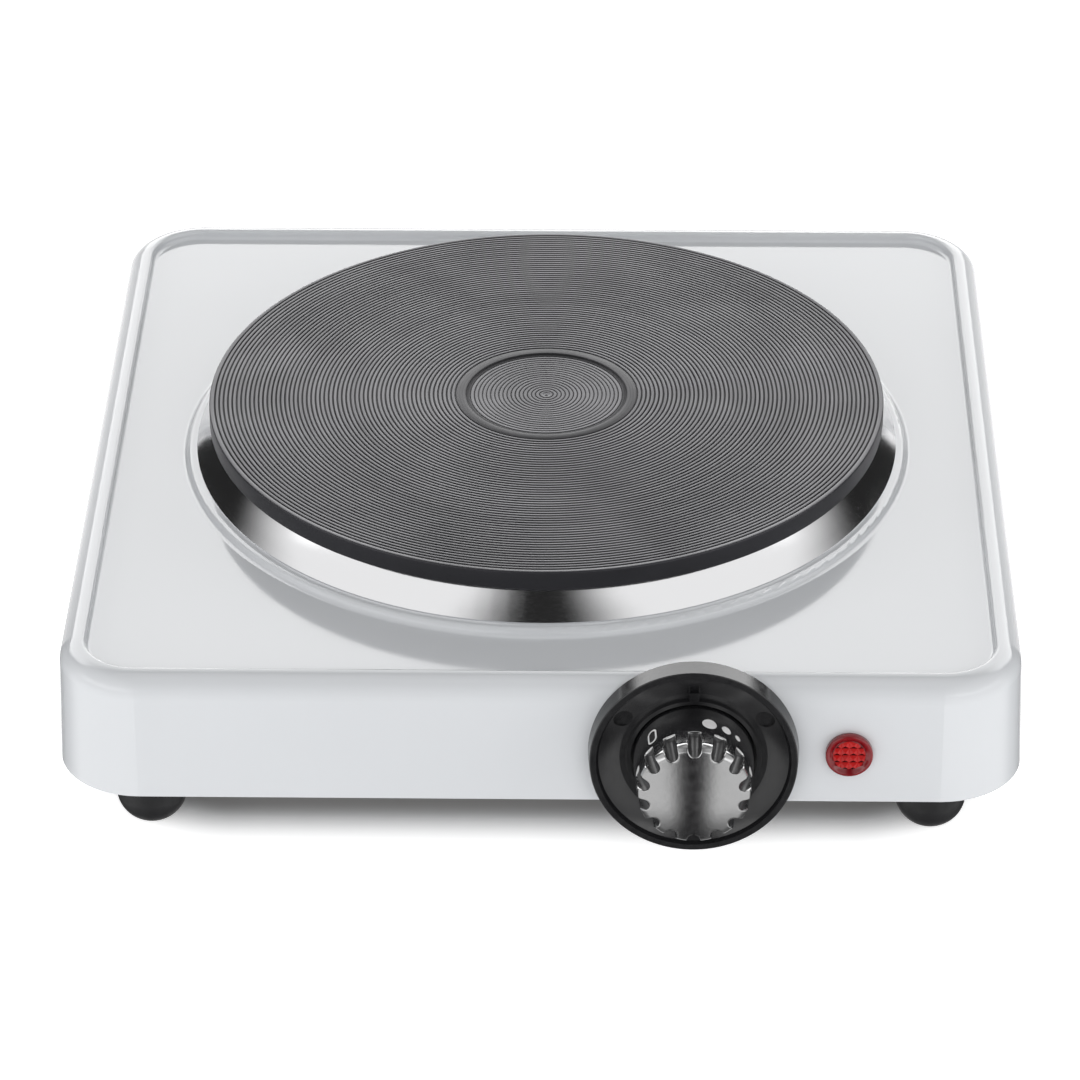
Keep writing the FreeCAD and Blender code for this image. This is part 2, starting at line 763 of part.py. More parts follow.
def make_heating():
    """Heating coils, the cement that holds them, and the four pins that carry their current down."""
    coils = []
    for pair, name in ((0, "heating_coil_inner"), (1, "heating_coil_outer")):
        coils.append(keep(tube(name, coil_wire(pair), dim.coil_radius.value), name))
    pins = []
    for number in range(4):
        inner, outer = channel(number)
        radius = (inner + outer) / 2
        angle = math.radians(dim.pin_angle.value)
        pin = rod(f"plate_pin_{number}", dim.pin_radius, dim.deck_bottom - 1 - dim.pin_bottom)
        pins.append(place(pin, radius * math.cos(angle), radius * math.sin(angle), dim.pin_bottom))
    group("plate_terminal_pins", pins)
    fill = new_body("cement_fill")
    rings = []
    for number in range(4):
        inner, outer = channel(number)
        rings.append(box(inner, outer, dim.casting_bottom + 1, dim.deck_bottom))
    revolve(fill, "cement_rings", *rings)
    bends = new_sketch(fill, "cement_bends", lift=dim.casting_bottom + 1)
    for pair in (0, 1):
        x, y, bend = coil_bend(pair)
        circle(bends, x, y, bend + dim.coil_radius + 0.5)
    pad(fill, bends, dim.deck_bottom - dim.casting_bottom - 1)
    place(fill)
    keep(cut("plate_insulation", fill, coils + pins), "plate_insulation")


def make_plate_fixing():
    """Cover under the casting, stud, nuts and the bridge that clamps the plate to the housing."""
    angle = math.radians(dim.pin_angle.value)
    cover_bottom = dim.casting_bottom - dim.cover_sheet
    cover = turned("plate_cover", [
        (3.3, cover_bottom), (87, cover_bottom), (87, dim.casting_bottom), (3.3, dim.casting_bottom),
    ])
    clear = new_sketch(cover, "pin_clearance", lift=cover_bottom)
    for number in range(4):
        radius = channel(number)[0] + dim.channel_width / 2
        circle(clear, radius * math.cos(angle), radius * math.sin(angle), dim.pin_radius + 1)
    pocket(cover, clear)
    keep(place(cover), "plate_cover")

    ways = [(channel(number)[0] + dim.channel_width / 2, 0, dim.pin_radius + 0.05) for number in range(4)]
    ceramic = block("terminal_ceramic", rounded(60.5, 0, 24, 5, 1.5), 0, 7, ways)
    turn = FreeCAD.Rotation(up_axis, dim.pin_angle.value)
    keep(place(ceramic, z=cover_bottom - 7, turn=turn), "terminal_ceramic")
    link = block("terminal_link", rounded(60.5, 0, 9.5, 3, 1.2), 0, 1, ways[1:3])
    keep(place(link, z=cover_bottom - 9, turn=turn), "terminal_link")

    stud_bottom = dim.bridge_top - 10
    stud = rod("plate_stud", dim.stud_radius, dim.deck_bottom - stud_bottom)
    keep(place(stud, z=stud_bottom), "plate_stud")
    upper = place(nut("upper_stud_nut", 10, 5, dim.stud_radius + 0.05), z=cover_bottom - 5)
    washer_top = dim.bridge_top - dim.bridge_sheet
    lower = place(nut("lower_stud_nut", 10, 5, dim.stud_radius + 0.05), z=washer_top - 6.2)
    group("stud_nuts", [upper, lower])
    keep(place(ring("stud_washer", 6, 3.2, 1.2), z=washer_top - 1.2), "stud_washer")

    bridge = new_body("clamp_bridge")
    section = new_sketch(bridge, "bridge_section", "XZ_Plane", lift=-dim.bridge_width / 2)
    panel = dim.housing_top - dim.panel_drop - dim.sheet
    top = dim.bridge_top
    thick = dim.bridge_sheet
    right = [(92, top), (103, panel), (114, panel), (114, panel - thick), (103.6, panel - thick),
             (92.6, top - thick)]
    left = [(-x, z) for x, z in reversed(right)]
    outline(section, right + left)
    pad(bridge, section, dim.bridge_width)
    holes = new_sketch(bridge, "bridge_holes", lift=top)
    circle(holes, 0, 0, dim.stud_radius + 0.2)
    circle(holes, dim.earth_x, 0, 2.1)
    pocket(bridge, holes)
    keep(place(bridge), "clamp_bridge")


def make_trim_ring():
    """Thin bright ring: a collar round the casting's skirt, folded over and flared out to the lip."""
    seat = dim.housing_top - dim.panel_drop + dim.lip_height
    fold = dim.plate_top - dim.plate_rim
    inner = dim.skirt_radius + 0.1
    gauge = 0.5
    foot = dim.ring_foot
    ring_body = turned("trim_ring", [
        (inner, fold - 8),
        (inner + gauge, fold - 8),
        (inner + gauge, fold - 1.4),
        (inner + gauge + 0.6, fold - 1.3, -0.35),
        (foot - 0.1, seat, 40.5),
        (foot, seat + 0.5),
        (inner + 1.5, fold - 0.9, -40.0),
        (inner, fold - 0.9, 0.85),
    ])
    return keep(place(ring_body), "trim_ring")


# ---- Knob, bezel and lamp ----


def make_bezel():
    """Dial bezel: shallow black dish round the knob, with an index tab at the top."""
    rim = dim.bezel_depth
    opening = dim.bezel_opening
    bezel = turned("bezel", [
        (dim.control_hole, 0),
        (19.5, 0),
        (19.5, 0.9),
        (25.2, 1.5),
        (25.2, 0),
        (dim.bezel_radius, 0),
        (dim.bezel_radius - 0.4, rim - 0.3),
        (dim.bezel_radius - 0.7, rim, 0.3),
        (25.0, rim),
        (24.4, 4.2),
        (19.0, 2.3, -14.0),
        (opening + 1.3, 2.3),
        (opening + 1.0, 3.4),
        (opening, 3.4),
        (opening, 1.2),
        (dim.control_hole, 1.2),
    ])
    index = new_sketch(bezel, "index_tab", lift=1.4)
    outline(index, box(-1.25, 1.25, opening + 1.0, 19.6))
    pad(bezel, index, 2.0)
    for side in (-1, 1):
        rib = new_sketch(bezel, "index_rib_" + ("left" if side < 0 else "right"), lift=1.4)
        outline(rib, box(side * 1.25 - 0.2, side * 1.25 + 0.2, 19.0, 21.8))
        pad(bezel, rib, 1.7)
    sinks = new_sketch(bezel, "sink_marks", lift=2.15)
    sink_angle = math.radians(57)
    for side in (-1, 1):
        circle(sinks, side * 21.6 * math.sin(sink_angle), 21.6 * math.cos(sink_angle), 2.5)
    pocket(bezel, sinks, 4, forward=True)
    screws = new_sketch(bezel, "screw_ways")
    for side in (-1, 1):
        circle(screws, side * dim.screw_offset, 0, 1.7)
    pocket(bezel, screws)
    return keep(place_front(bezel, dim.knob_x), "bezel")


def knob_side(out):
    """Radius of the knob's tapered side at a distance from the wall."""
    fall = (dim.knob_skirt - dim.knob_rim) / (dim.knob_shoulder - dim.knob_back)
    return dim.knob_skirt - fall * (out - dim.knob_back)


def dome_radius(half_width, rise):
    """Radius of a dome of a given half width and rise."""
    return (half_width * half_width + rise * rise) / (rise * 2)


def make_knob():
    """Fluted knob with a D-shaped bore, its inlaid marks and the spring ring round its boss."""
    dome = as_size(1.4)
    face = dim.knob_length - dome
    crown = dim.knob_rim - 2.0
    bore = dim.spindle_radius + 0.03
    blank = turned("knob_blank", [
        (bore, dim.knob_back + 1),
        (5.5, dim.knob_back + 1),
        (5.5, face - 3.2),
        (12.3, face - 3.2),
        (13.9, dim.knob_back),
        (dim.knob_skirt, dim.knob_back),
        (dim.knob_rim, dim.knob_shoulder),
        (crown, face, 2.5),
        (0, dim.knob_length, dome_radius(crown, dome)),
        (0, face - 4.4),
        (bore, face - 4.4),
    ])
    flat = new_sketch(blank, "bore_flat", lift=5.4)
    outline(flat, box(-2.9, 2.9, 1.7, 3.6))
    pad(blank, flat, face - 4.6 - 5.4 + 1)
    notch = blank.newObject("PartDesign::SubtractiveCylinder", "notch")
    bind(notch, "Radius", dim.notch_radius)
    notch.Height = 12.0
    notch.AttachmentSupport = [(origin_feature(blank, "XY_Plane"), "")]
    notch.MapMode = "FlatFace"
    tilt = FreeCAD.Rotation(side_axis, 17.5)
    notch.AttachmentOffset = FreeCAD.Placement(FreeCAD.Vector(), tilt)
    bind(notch, "AttachmentOffset.Base.y", dim.knob_rim + 1.0)
    bind(notch, "AttachmentOffset.Base.z", dim.knob_shoulder - 4.0)
    notches = blank.newObject("PartDesign::PolarPattern", "notches")
    notches.Originals = [notch]
    notches.Axis = (origin_feature(blank, "Z_Axis"), [""])
    notches.Angle = 360.0
    notches.Occurrences = int(dim.notch_count.value)
    blank.Tip = notches
    place_front(blank, dim.knob_x)

    marks = make_marks()
    keep(cut("knob", blank, [marks]), "knob")

    clip = new_body("knob_clip")
    revolve(clip, "knob_clip_band", [(5.5, 8), (6.1, 8), (6.1, 13), (5.5, 13)])
    split = new_sketch(clip, "knob_clip_split", lift=8)
    outline(split, box(-2, 2, -7, 0))
    pocket(clip, split, 5, forward=True)
    keep(place_front(clip, dim.knob_x), "knob_clip")


def mark_turn(angle):
    """Rotation that points a mark's +Z away from the knob's axis, at a clockwise angle from the top."""
    return FreeCAD.Rotation(up_axis, -angle) * FreeCAD.Rotation(side_axis, -90)


def make_marks():
    """Inlaid marks: a zero at the off position and three dots that grow with the heat setting."""
    tools = []
    for angle, radius in ((14.6, 1.9), (32.4, 1.35), (46.6, 0.9)):
        dot = rod(f"dot_{int(angle)}", radius, 4)
        tools.append((dot, angle))
    zero = new_body("zero")
    strokes = new_sketch(zero, "zero_strokes")
    outline(strokes, rounded(0, 0, 1.5, 2.6, 1.35))
    outline(strokes, rounded(0, 0, 1.0, 2.1, 0.9))
    pad(zero, strokes, 4)
    tools.append((zero, -45.0))
    for tool, angle in tools:
        place_mark(tool, angle)
    every = doc.addObject("Part::MultiFuse", "mark_tools")
    every.Shapes = [tool for tool, angle in tools]
    near = dim.mark_out - 4
    far = dim.mark_out + 4
    skin = turned("mark_skin", [
        (knob_side(near) - dim.mark_depth, near),
        (knob_side(near), near),
        (knob_side(far), far),
        (knob_side(far) - dim.mark_depth, far),
    ])
    place_front(skin, dim.knob_x)
    marks = doc.addObject("Part::Common", "knob_marks")
    marks.Base = every
    marks.Tool = skin
    return keep(marks, "knob_marks")


def place_mark(tool, angle):
    """Stands a mark's tool on the knob's axis, pointing outward at a clockwise angle from the top."""
    place_front(tool, dim.knob_x, out=dim.mark_out)
    tool.Placement = FreeCAD.Placement(FreeCAD.Vector(), tool.Placement.Rotation * mark_turn(angle))
    across = math.sin(math.radians(angle)) * 13.0
    up = math.cos(math.radians(angle)) * 13.0
    bind(tool, "Placement.Base.x", dim.knob_x + across)
    y = -wall_half(dim.control_height) + up * draft_sin - dim.mark_out * draft_cos
    bind(tool, "Placement.Base.y", y + dim.centre_y)
    bind(tool, "Placement.Base.z", dim.control_height + up * draft_cos + dim.mark_out * draft_sin)


def make_lamp():
    """Pilot lamp: red lens cup, neon bulb with its resistor, and the clip that holds the lens."""
    barrel = dim.lens_barrel
    lens = turned("lamp_lens", [
        (3.6, -9), (barrel, -9), (barrel, 0), (dim.lens_radius, 0), (dim.lens_radius, 1.5),
        (dim.lens_radius - 0.5, 2.0, 0.5), (5.0, 2.0), (4.6, 1.3), (4.2, 1.3), (3.9, 1.9),
        (0, 2.1), (0, 0.6), (3.6, 0.6),
    ])
    keep(place_front(lens, dim.lamp_x), "lamp_lens")
    bulb_radius = as_size(2.4)
    bulb = turned("lamp_bulb", [
        (0, -14),
        (bulb_radius, -14),
        (bulb_radius, -2.4),
        (0, -0.4, dome_radius(bulb_radius, as_size(2))),
    ])
    keep(place_front(bulb, dim.lamp_x), "lamp_bulb")
    resistor = turned("lamp_resistor", [(0, -22.5), (1.2, -22.5), (1.2, -16), (0, -16)])
    keep(place_front(resistor, dim.lamp_x + 2.4), "lamp_resistor")
    clip = turned("lamp_clip", [(barrel, -1.3), (7.6, -1.3), (7.6, -0.8), (barrel, -0.8)])
    keep(place_front(clip, dim.lamp_x), "lamp_clip")


# ---- Thermostat, drawn in the front wall's frame ----


def strip(name, low_x, high_x, half_height, depth, thick, holes=()):
    """A flat strip parallel to the wall, with its near face at a depth behind the wall."""
    corners = rounded((low_x + high_x) / 2, 0, (high_x - low_x) / 2, half_height, 1.0)
    body = block(name, corners, -(as_size(depth) + thick), thick, holes)
    return place_front(body, dim.knob_x)


def make_thermostat():
    """Bimetal thermostat: mounting bracket, bush, spindle, insulator stack, blades and contacts."""
    inner_face = dim.sheet
    stack = dim.stack_x
    bracket = strip("thermostat_bracket", as_size(-30), as_size(15), 9, inner_face, 1.2, [
        (0, 0, dim.bush_radius),
        (dim.screw_offset, 0, 1.55),
        (-dim.screw_offset, 0, 1.55),
        (stack, 0, 2.05),
    ])
    keep(bracket, "thermostat_bracket")
    bush_bore = dim.spindle_radius + dim.spindle_play
    bush = turned("thermostat_bush", [
        (bush_bore, -6), (5.4, -6), (5.4, -2.0), (dim.bush_radius, -2.0), (dim.bush_radius, 2.2),
        (bush_bore, 2.2),
    ])
    keep(place_front(bush, dim.knob_x), "thermostat_bush")

    spindle = turned("thermostat_spindle", [
        (0, -9), (dim.spindle_radius, -9), (dim.spindle_radius, 15.6), (2.6, 16), (0, 16),
    ])
    flat = new_sketch(spindle, "spindle_flat", lift=5.2)
    outline(flat, box(-4, 4, 1.65, 4))
    pocket(spindle, flat, 12, forward=True)
    keep(place_front(spindle, dim.knob_x), "thermostat_spindle")
    tip = turned("spindle_tip", [(0, -10.2), (1.6, -10.2), (2.0, -9.8, 0.4), (2.0, -9), (0, -9)])
    keep(place_front(tip, dim.knob_x), "spindle_tip")

    bracket_back = inner_face + 1.2
    levels = [
        (bracket_back, dim.blade_depth),
        (dim.blade_depth + dim.blade_sheet, dim.contact_depth),
        (dim.contact_depth + dim.blade_sheet, dim.bimetal_depth),
        (dim.bimetal_depth + dim.bimetal_sheet, dim.bimetal_depth + dim.bimetal_sheet + 2),
    ]
    insulators = []
    for number, (near, far) in enumerate(levels):
        piece = ring(f"insulator_{number}", 5.0, 2.1, far - near)
        insulators.append(place_front(piece, dim.knob_x + stack, out=-far))
    group("thermostat_insulators", insulators)
    stack_back = levels[3][1]
    rivet = turned("thermostat_rivet", [
        (0, 0), (3.2, 0), (3.2, 1.2), (2.0, 1.2), (2.0, stack_back + 1.2 - inner_face - 0.1),
        (0, stack_back + 1.2 - inner_face - 0.1),
    ])
    keep(place_front(rivet, dim.knob_x + stack, out=-(stack_back + 1.2)), "thermostat_rivet")

    root = dim.blade_root
    roots = []
    for name, depth, thick, reach in (
        ("upper_terminal", dim.blade_depth, dim.blade_sheet, -38),
        ("lower_terminal", dim.contact_depth, dim.blade_sheet, -35),
        ("bimetal_root", dim.bimetal_depth, dim.bimetal_sheet, -27),
    ):
        roots.append(strip(name, as_size(reach), root - 0.4, 3.2, depth, thick, [(stack, 0, 2.1)]))
    group("thermostat_terminals", roots)

    for name, tip, half_height, depth, thick in (
        ("pressure_blade", 8, 3.2, dim.blade_depth, dim.blade_sheet),
        ("contact_blade", 9, 3.2, dim.contact_depth, dim.blade_sheet),
        ("bimetal_blade", 11, 3.6, dim.bimetal_depth, dim.bimetal_sheet),
    ):
        keep(strip(name, root, as_size(tip), half_height, depth, thick), name)
    upper = ring("upper_contact", 1.8, 0.4, 0.8)
    keep(place_front(upper, dim.knob_x + 5.5, out=-(dim.blade_depth + dim.blade_sheet + 0.8)), "upper_contact")
    lower = ring("lower_contact", 1.8, 0.4, 0.7)
    keep(place_front(lower, dim.knob_x + 5.5, out=-dim.contact_depth), "lower_contact")
    gap = dim.bimetal_depth - dim.contact_depth - dim.blade_sheet
    pin = ring("push_pin", 1.2, 0.3, gap)
    keep(place_front(pin, dim.knob_x - 5, out=-dim.bimetal_depth), "push_pin")

    screws = []
    for side in (-1, 1):
        screw = pan_screw(f"thermostat_screw_{side + 1}", 2.8, 1.0, 1.5, 4.6)
        place_front(screw, dim.knob_x + side * dim.screw_offset, out=1.2)
        screw.Placement = FreeCAD.Placement(
            screw.Placement.Base, screw.Placement.Rotation * FreeCAD.Rotation(side_axis, 180)
        )
        screws.append(screw)
    group("thermostat_screws", screws)


# ---- Mains side and leads ----


def make_mains_side():
    """Cord bush in the back wall, terminal block with its inserts and screws, and the earth fixing."""
    bush = turned("cord_bush", [
        (dim.cord_bore, -3.2), (7.6, -3.2), (7.6, -0.8), (5.9, -0.8), (5.9, 0), (8.6, 0), (8.6, 1.8),
        (7.4, 3.0, 1.6), (dim.cord_bore, 3.0),
    ])
    keep(place_back(bush, dim.cord_x, dim.control_height), "cord_bush")

    floor = dim.base_height + dim.sheet
    pitch = dim.way_pitch
    way_height = 6.5
    body = block("terminal_block", rounded(0, 0, 16, 9, 1.5), 0, 14, [(pitch / 2, 0, 1.6)])
    ways = new_sketch(body, "block_ways", "XZ_Plane")
    drops = new_sketch(body, "block_drops", lift=way_height)
    for number in (-1, 0, 1):
        circle(ways, pitch * number, way_height, 2.4)
        for side in (-1, 1):
            circle(drops, pitch * number, side * 5, 1.3)
    pocket(body, ways)
    pocket(body, drops, 9, forward=True)
    keep(place(body, dim.cord_x, dim.block_y, floor), "terminal_block")

    inserts = []
    clamps = []
    for number in (-1, 0, 1):
        x = dim.cord_x + pitch * number
        insert = ring(f"insert_{number + 1}", 2.35, 1.4, 15)
        turn = FreeCAD.Rotation(side_axis, 90)
        inserts.append(place(insert, x, dim.block_y + 7.5, floor + way_height, turn))
        for side in (-1, 1):
            clamp = rod(f"clamp_{number + 1}_{side + 1}", 1.2, 4.2)
            clamps.append(place(clamp, x, dim.block_y + side * 5, floor + way_height + 2.6))
    group("terminal_inserts", inserts)
    group("clamp_screws", clamps)
    fixing = pan_screw("block_screw", 2.6, 1.8, 1.5, 14.8)
    flip = FreeCAD.Rotation(side_axis, 180)
    keep(place(fixing, dim.cord_x + pitch / 2, dim.block_y, floor + 14, flip), "block_screw")

    bridge_bottom = dim.bridge_top - dim.bridge_sheet
    eyelet = new_body("earth_eyelet")
    ear = new_sketch(eyelet, "eyelet_ring")
    circle(ear, 0, 0, 4.0)
    circle(ear, 0, 0, 2.1)
    pad(eyelet, ear, 0.8)
    keep(place(eyelet, dim.earth_x, 0, bridge_bottom - 0.8), "earth_eyelet")
    screw = pan_screw("earth_screw", 3.5, 2.4, 2.0, 7.6)
    keep(place(screw, dim.earth_x, 0, bridge_bottom - 0.8), "earth_screw")
    keep(place(nut("earth_nut", 7.0, 3.2, 2.05), dim.earth_x, 0, dim.bridge_top), "earth_nut")


def front_point(across, up, out):
    """A point in the front wall's frame, given from the housing's centre line."""
    y = -wall_half(dim.control_height) + up * draft_sin - out * draft_cos
    z = dim.control_height + up * draft_cos + out * draft_sin
    return (across, y.value, z.value)


def pin_end(number):
    """Lower end of the terminal pin in a numbered channel, given from the housing's centre line."""
    inner, outer = channel(number)
    middle = (inner.value + outer.value) / 2
    angle = math.radians(dim.pin_angle.value)
    return (middle * math.cos(angle), middle * math.sin(angle), dim.pin_bottom.value)


def make_leads():
    """Sleeved leads from the block to the thermostat, the plate, the lamp and the earth screw."""
    way_x = [dim.cord_x.value + dim.way_pitch.value * number for number in (-1, 0, 1)]
    way_y = dim.block_y.value - 9.2
    way_z = dim.base_height.value + dim.sheet.value + 6.5
    live_pin = pin_end(3)
    neutral_pin = pin_end(0)
    upper = front_point(dim.knob_x.value - 38.2, 0, -(dim.blade_depth.value + 0.2))
    lower = front_point(dim.knob_x.value - 35.2, 0, -(dim.contact_depth.value + 0.2))
    lead("live_lead", [
        (way_x[0], way_y, way_z), (way_x[0], 52, 26.5), (-66, 12, 25.5), (-44, -32, 25), (-28, -72, 26),
        (-20, -102, 31), (-12, upper[1] - 0.4, upper[2] + 0.2), upper,
    ])
    lead("heater_lead", [
        lower, (lower[0] - 9, lower[1] + 2, lower[2] - 2), (-9, lower[1] + 14, 27),
        (2, live_pin[1] + 4, 25.5), (live_pin[0], live_pin[1], 30), live_pin,
    ])
    lead("neutral_lead", [
        (way_x[2], way_y, way_z), (way_x[2] + 1, 50, 28), (-42, 22, 27), (-16, -8, 26.5),
        (2, -32, 27), (neutral_pin[0], neutral_pin[1], 32), neutral_pin,
    ])
    lead("earth_lead", [
        (way_x[1], way_y, way_z), (way_x[1], 50, 29), (-64, 24, 32), (-54, 6, 38), (-44.1, 0.4, 41.9),
    ])
    lamp = dim.lamp_x.value
    resistor_end = front_point(lamp + 2.4, 0, -23.0)
    bulb_end = front_point(lamp - 1.4, 0, -14.3)
    lead("lamp_lead_live", [
        resistor_end, (lamp + 2, resistor_end[1] + 9, 30), (70, -88, 24.5), (38, -90, 24), (10, -96, 24),
        (2, -104, 25), (lower[0] + 2.4, lower[1] + 1.7, 28.6),
    ])
    lead("lamp_lead_neutral", [
        bulb_end, (lamp - 1.8, bulb_end[1] + 13, 35.5), (64, -78, 35), (40, -54, 31), (20, -36, 31),
        (11.2, neutral_pin[1], 38), (neutral_pin[0] + 1.6, neutral_pin[1], 38.6),
    ])


# ---- Build, check and write ----


def check():
    """Stops if any object failed or any sub-part's shape is empty or invalid."""
    doc.recompute()
    for item in doc.Objects:
        if "Invalid" in item.State or "Error" in item.State:
            raise ValueError(f"{item.Name} is {item.State}")
    for node in nodes:
        if node.Shape.isNull() or not node.Shape.isValid():
            raise ValueError(f"{node.Label} has no valid shape")
        print(f"{node.Label}: {len(node.Shape.Solids)} solids, {node.Shape.Volume:.0f} mm3")


def write():
    """Writes each sub-part to its own STEP file."""
    os.makedirs("parts", exist_ok=True)
    for node in nodes:
        node.Shape.exportStep(f"parts/{node.Label}.step")


make_housing()
make_base_plate()
make_feet()
make_casting()
make_heating()
make_plate_fixing()
make_trim_ring()
make_bezel()
make_knob()
make_lamp()
make_thermostat()
make_mains_side()
make_leads()
check()
write()
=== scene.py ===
import json
import math

import bmesh
import bpy
import numpy as np
from mathutils import Matrix, Vector


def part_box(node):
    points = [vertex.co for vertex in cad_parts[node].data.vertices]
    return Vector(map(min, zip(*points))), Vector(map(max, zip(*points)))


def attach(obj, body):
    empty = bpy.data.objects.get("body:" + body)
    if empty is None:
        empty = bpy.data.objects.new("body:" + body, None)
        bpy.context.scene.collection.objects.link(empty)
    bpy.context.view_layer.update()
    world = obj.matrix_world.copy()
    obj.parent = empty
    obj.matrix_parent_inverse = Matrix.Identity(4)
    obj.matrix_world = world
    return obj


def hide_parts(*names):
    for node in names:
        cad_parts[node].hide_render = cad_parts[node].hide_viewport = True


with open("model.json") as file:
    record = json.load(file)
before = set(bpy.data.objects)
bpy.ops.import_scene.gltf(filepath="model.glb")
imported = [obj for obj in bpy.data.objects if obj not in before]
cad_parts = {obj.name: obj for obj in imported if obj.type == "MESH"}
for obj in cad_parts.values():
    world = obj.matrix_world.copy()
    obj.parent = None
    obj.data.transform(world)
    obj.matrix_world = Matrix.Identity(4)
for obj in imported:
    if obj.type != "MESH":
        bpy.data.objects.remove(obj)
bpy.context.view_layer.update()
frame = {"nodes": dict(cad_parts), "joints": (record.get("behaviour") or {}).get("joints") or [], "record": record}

nodes = frame["nodes"]
MM = 0.001
ON_AXIS = 1e-6  # a section point nearer the axis than this, in millimetres, is a pole
plate_low, plate_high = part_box("hot_plate")
plate_middle = (plate_low + plate_high) / 2


# ---- Materials ----


def tone(colour, factor):
    return tuple(factor * c for c in colour)


class Finish:
    """A Principled material and the few node moves that the finishes below share. Scales are per metre."""

    def __init__(self, name, colour, roughness, **fixed):
        self.material = bpy.data.materials.new(name)
        self.material.use_nodes = True
        self.tree = self.material.node_tree
        self.shader = self.tree.nodes["Principled BSDF"]
        self.shader.inputs["Base Color"].default_value = (*colour, 1)
        self.shader.inputs["Roughness"].default_value = roughness
        for socket, value in fixed.items():
            self.shader.inputs[socket.replace("_", " ")].default_value = value

    def node(self, kind, *inputs, **settings):
        made = self.tree.nodes.new("ShaderNode" + kind)
        for key, value in settings.items():
            setattr(made, key, value)
        for socket, value in zip(made.inputs, inputs):
            if value is None:
                continue
            if isinstance(value, bpy.types.NodeSocket):
                self.tree.links.new(value, socket)
            else:
                socket.default_value = value
        return made

    def place(self):
        """The point being shaded, in the part's own frame."""
        return self.node("TexCoord").outputs["Object"]

    def maths(self, operation, *inputs):
        return self.node("Math", *inputs, operation=operation).outputs[0]

    def vector(self, operation, *inputs):
        return self.node("VectorMath", *inputs, operation=operation).outputs[0]

    def length_in_plan(self, vector):
        """Length of a vector seen from above."""
        flat = self.vector("MULTIPLY", vector, (1, 1, 0))
        return self.node("VectorMath", flat, operation="LENGTH").outputs["Value"]

    def noise(self, scale, detail=3.0, stretch=None, distortion=0.0):
        """Noise, packed closer along each axis by stretch."""
        where = self.place()
        if stretch:
            where = self.node("Mapping", where, None, None, stretch).outputs[0]
        made = self.node("TexNoise", where, None, scale, detail)
        made.inputs["Distortion"].default_value = distortion
        return made.outputs[0]

    def span(self, value, low, high, new_low, new_high, smooth=False):
        made = self.node("MapRange", value, low, high, new_low, new_high)
        made.interpolation_type = "SMOOTHSTEP" if smooth else "LINEAR"
        return made.outputs[0]

    def blend(self, share, first, second):
        """A colour between two, by share."""
        made = self.node("Mix", data_type="RGBA")
        factor, a, b = made.inputs[0], made.inputs[6], made.inputs[7]
        self.tree.links.new(share, factor)
        a.default_value = (*first, 1)
        b.default_value = (*second, 1)
        return made.outputs[2]

    def feed(self, socket, value):
        self.tree.links.new(value, self.shader.inputs[socket])

    def bump(self, height, distance, strength):
        """A relief of this distance in metres."""
        made = self.node("Bump")
        made.inputs["Strength"].default_value = strength
        made.inputs["Distance"].default_value = distance
        self.tree.links.new(height, made.inputs["Height"])
        self.feed("Normal", made.outputs[0])

    def mottle(self, colour, other, scale, detail=4.0):
        """Colour that wanders between two near shades."""
        share = self.span(self.noise(scale, detail), 0.35, 0.65, 0, 1)
        self.feed("Base Color", self.blend(share, colour, other))

    def uneven(self, scale, low, high, stretch=None):
        """Roughness that wanders between two values."""
        share = self.noise(scale, stretch=stretch)
        self.feed("Roughness", self.span(share, 0.3, 0.7, low, high))


def enamel():
    f = Finish("enamel", (0.61, 0.625, 0.645), 0.1)
    f.mottle((0.605, 0.62, 0.64), (0.62, 0.635, 0.655), scale=9)
    f.uneven(scale=60, low=0.08, high=0.13)
    f.bump(f.noise(scale=260, detail=2.0), distance=0.000012, strength=0.4)
    return f.material


def cast_iron(name, colour, roughness, specular):
    """Turned iron: each ridge catches the light a little differently, and handling leaves soft smears."""
    f = Finish(name, colour, roughness, Specular_IOR_Level=specular)
    f.shader.inputs["Specular Tint"].default_value = (0.95, 0.94, 1, 1)
    radius = f.length_in_plan(f.vector("SUBTRACT", f.place(), (plate_middle.x, plate_middle.y, 0)))
    ridge_scale, ridge_detail = 1700, 2.0
    ridges = f.node("TexNoise", None, radius, ridge_scale, ridge_detail, noise_dimensions="1D").outputs[0]
    smears = f.noise(scale=26, detail=5.0, distortion=0.6)
    share = f.maths("ADD", f.span(ridges, 0.3, 0.7, 0, 0.5), f.span(smears, 0.35, 0.65, 0, 0.5))
    f.feed("Base Color", f.blend(share, tone(colour, 0.6), tone(colour, 1.5)))
    f.feed("Roughness", f.span(share, 0, 1, roughness + 0.1, roughness - 0.1))
    f.bump(f.noise(scale=3000), distance=0.00002, strength=0.6)
    return f.material


def bright_steel():
    f = Finish("bright_steel", (0.78, 0.78, 0.79), 0.1, Metallic=1.0)
    f.uneven(scale=700, low=0.07, high=0.15, stretch=(1, 1, 12))
    f.bump(f.noise(scale=900, detail=2.0, stretch=(1, 1, 14)), distance=0.000004, strength=0.5)
    return f.material


def black_plastic(name, colour, low, high, grain, **fixed):
    f = Finish(name, colour, low, **fixed)
    f.uneven(500, low, high)
    f.bump(f.noise(grain, detail=2.0), distance=0.00003, strength=0.4)
    return f.material


def rubber(name):
    f = Finish(name, (0.008, 0.008, 0.009), 0.55, Specular_IOR_Level=0.35)
    f.mottle((0.006, 0.006, 0.007), (0.011, 0.011, 0.012), scale=120)
    f.uneven(scale=400, low=0.42, high=0.62)
    f.bump(f.noise(scale=1600), distance=0.00002, strength=0.6)
    return f.material


